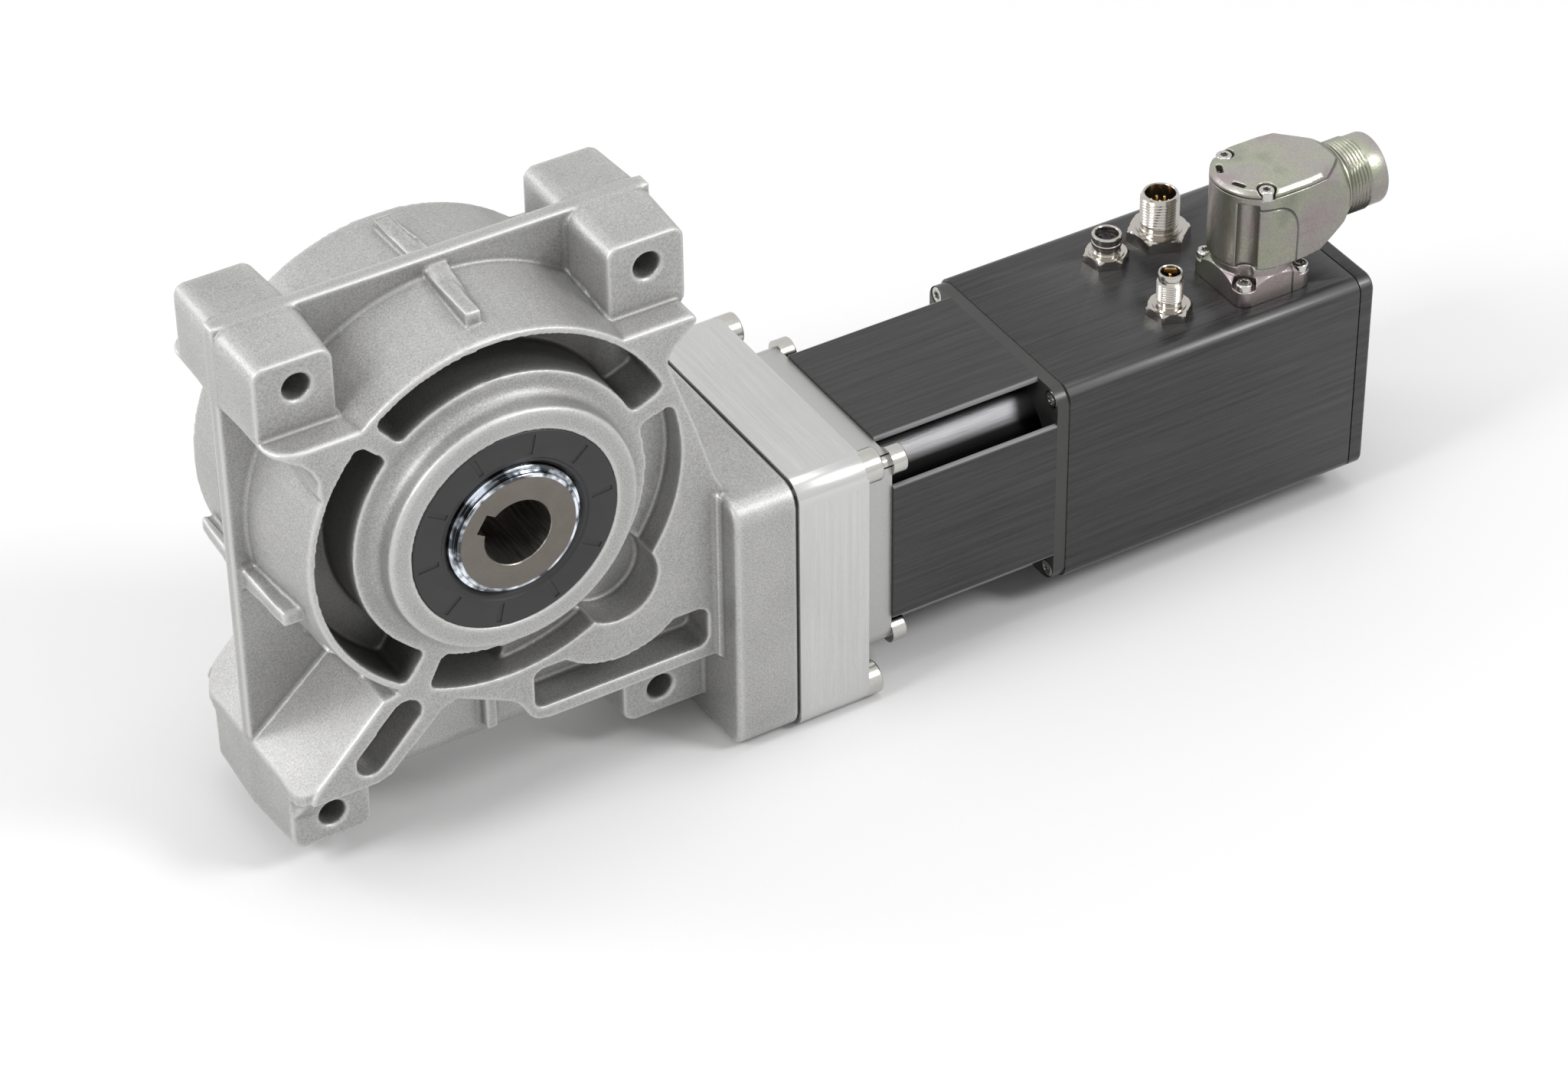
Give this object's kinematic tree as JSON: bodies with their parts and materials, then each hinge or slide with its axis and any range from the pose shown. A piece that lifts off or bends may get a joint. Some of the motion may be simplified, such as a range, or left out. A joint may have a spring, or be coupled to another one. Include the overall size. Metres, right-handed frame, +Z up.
{
  "type": "brushless motor",
  "caption": "Brushless servo motor with built-in drive on a footed worm gearbox with hollow keyed output shaft, signal plugs and a turning angled power plug.",
  "frame": {"origin": "centre of the hollow output shaft, in the middle plane of the gearbox", "axes": "+X along the motor towards the drive, +Z up towards the plugs, -Y out of the front face of the gearbox"},
  "size_m": [0.3651, 0.0872, 0.1729],
  "materials": {
    "housing_casting": "satin, fine blasted casting",
    "plate_metal": "brushed",
    "flange_metal": "blasted",
    "black_anodised": "black anodised, brushed",
    "dark_flange": "satin black anodised",
    "ground_steel": "ground",
    "hub_iron": "machined",
    "bearing_steel": "polished",
    "gear_bronze": "machined",
    "seal_rubber": "matt",
    "gasket_sheet": "matt",
    "screw_steel": "zinc plated",
    "nickel_plate": "nickel plated",
    "plug_insert": "moulded",
    "contact_gold": "gold plated",
    "plated_casting": "plated zinc casting with yellow-green tint",
    "spider_plastic": "moulded",
    "core_sheet_steel": "stacked sheet",
    "coil_copper": "enamelled wire",
    "magnet": "plated",
    "board_laminate": "laminate",
    "chip_body": "moulded",
    "capacitor_can": "sleeved can"
  },
  "bodies": {
    "gear_motor": {"gear_housing": "housing_casting", "rear_cover": "housing_casting", "cover_cord_ring": "seal_rubber", "cover_circlip": "ground_steel", "output_outer_races": "bearing_steel", "front_seal": "seal_rubber", "rear_seal": "seal_rubber", "worm_outer_races": "bearing_steel", "worm_seal": "seal_rubber", "plate_gasket": "gasket_sheet", "adapter_plate": "plate_metal", "plate_screws": "screw_steel", "motor_flange": "flange_metal", "flange_screws": "screw_steel", "motor_housing": "black_anodised", "stator_core": "core_sheet_steel", "stator_coils": "coil_copper", "motor_outer_races": "bearing_steel", "motor_rear_shield": "black_anodised", "drive_flange": "dark_flange", "drive_screws": "screw_steel", "drive_housing": "black_anodised", "power_board": "board_laminate", "control_board": "board_laminate", "board_chips": "chip_body", "drive_capacitors": "capacitor_can", "encoder_board": "board_laminate", "drive_end_cap": "black_anodised", "end_cap_screws": "screw_steel", "round_plug_body": "nickel_plate", "round_plug_insert": "plug_insert", "signal_pins": "contact_gold", "small_socket_body": "nickel_plate", "small_socket_insert": "plug_insert", "small_plug_body": "nickel_plate", "small_plug_insert": "plug_insert", "power_base": "plated_casting", "power_base_screws": "screw_steel"},
    "output": {"output_sleeve": "ground_steel", "hub_key": "ground_steel", "wheel_hub": "hub_iron", "wheel_rim": "gear_bronze", "output_inner_races": "bearing_steel", "output_rollers": "bearing_steel"},
    "worm": {"worm_shaft": "ground_steel", "worm_inner_races": "bearing_steel", "worm_rollers": "bearing_steel", "coupling_worm_hub": "ground_steel", "coupling_motor_hub": "ground_steel", "coupling_spider": "spider_plastic", "motor_shaft": "ground_steel", "rotor_core": "core_sheet_steel", "rotor_magnets": "magnet", "motor_inner_races": "bearing_steel", "motor_rollers": "bearing_steel", "encoder_magnet": "magnet"},
    "power_plug": {"power_elbow": "plated_casting", "power_elbow_screws": "screw_steel", "power_insert": "plug_insert", "power_pins": "contact_gold"}
  },
  "joints": [
    {"name": "output_turn", "type": "hinge", "parent": "gear_motor", "child": "output", "pos_m": [0, 0, 0], "axis": [0, 1, 0], "continuous": true},
    {"name": "worm_turn", "type": "hinge", "parent": "gear_motor", "child": "worm", "pos_m": [0, 0, -0.063], "axis": [1, 0, 0], "continuous": true},
    {"name": "power_plug_turn", "type": "hinge", "parent": "gear_motor", "child": "power_plug", "pos_m": [0.259, -0.0147, -0.0285], "axis": [0, 0, 1], "range_deg": [-135, 70]}
  ],
  "couplings": [
    {"joint": "worm_turn", "follows": "output_turn", "ratio": 40}
  ]
}
